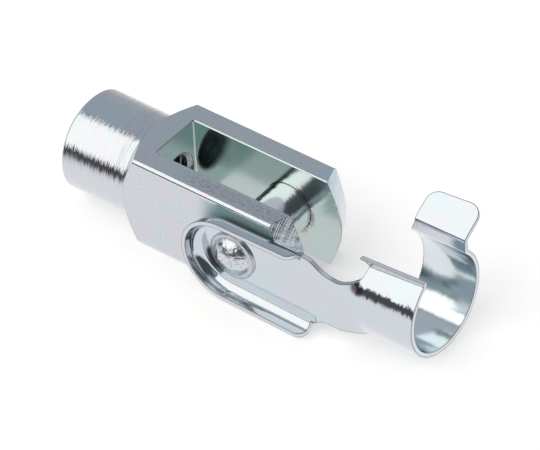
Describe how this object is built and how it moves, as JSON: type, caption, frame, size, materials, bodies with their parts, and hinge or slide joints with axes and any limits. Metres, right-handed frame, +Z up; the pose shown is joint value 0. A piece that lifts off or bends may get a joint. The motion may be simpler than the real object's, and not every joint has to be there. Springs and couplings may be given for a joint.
{
  "type": "clevis rod end",
  "caption": "Fork head with a tapped shank and a through slot, held across by a clevis pin whose sprung clip swings back to snap round the shank.",
  "frame": {"origin": "middle of the clevis pin, on the axis of the fork", "axes": "+X along the fork's axis from the shank to the open mouth, +Y along the clevis pin away from its riveted head, +Z up, square to both"},
  "size_m": [0.0325, 0.0106, 0.0097],
  "materials": {
    "fork_zinc": "turned and milled, bright zinc plated",
    "pin_zinc": "turned, bright zinc plated",
    "clip_zinc": "rolled spring strip, bright zinc plated"
  },
  "bodies": {
    "fork": {"clevis_body": "fork_zinc"},
    "pin": {"clevis_pin": "pin_zinc"},
    "clip": {"spring_clip": "clip_zinc"}
  },
  "joints": [
    {"name": "pin_pull", "type": "slide", "parent": "fork", "child": "pin", "axis": [0, -1, 0], "range_m": [0, 0.008]},
    {"name": "clip_swing", "type": "hinge", "parent": "pin", "child": "clip", "pos_m": [0, 0, 0], "axis": [0, -1, 0], "range_deg": [-138, 142]}
  ]
}
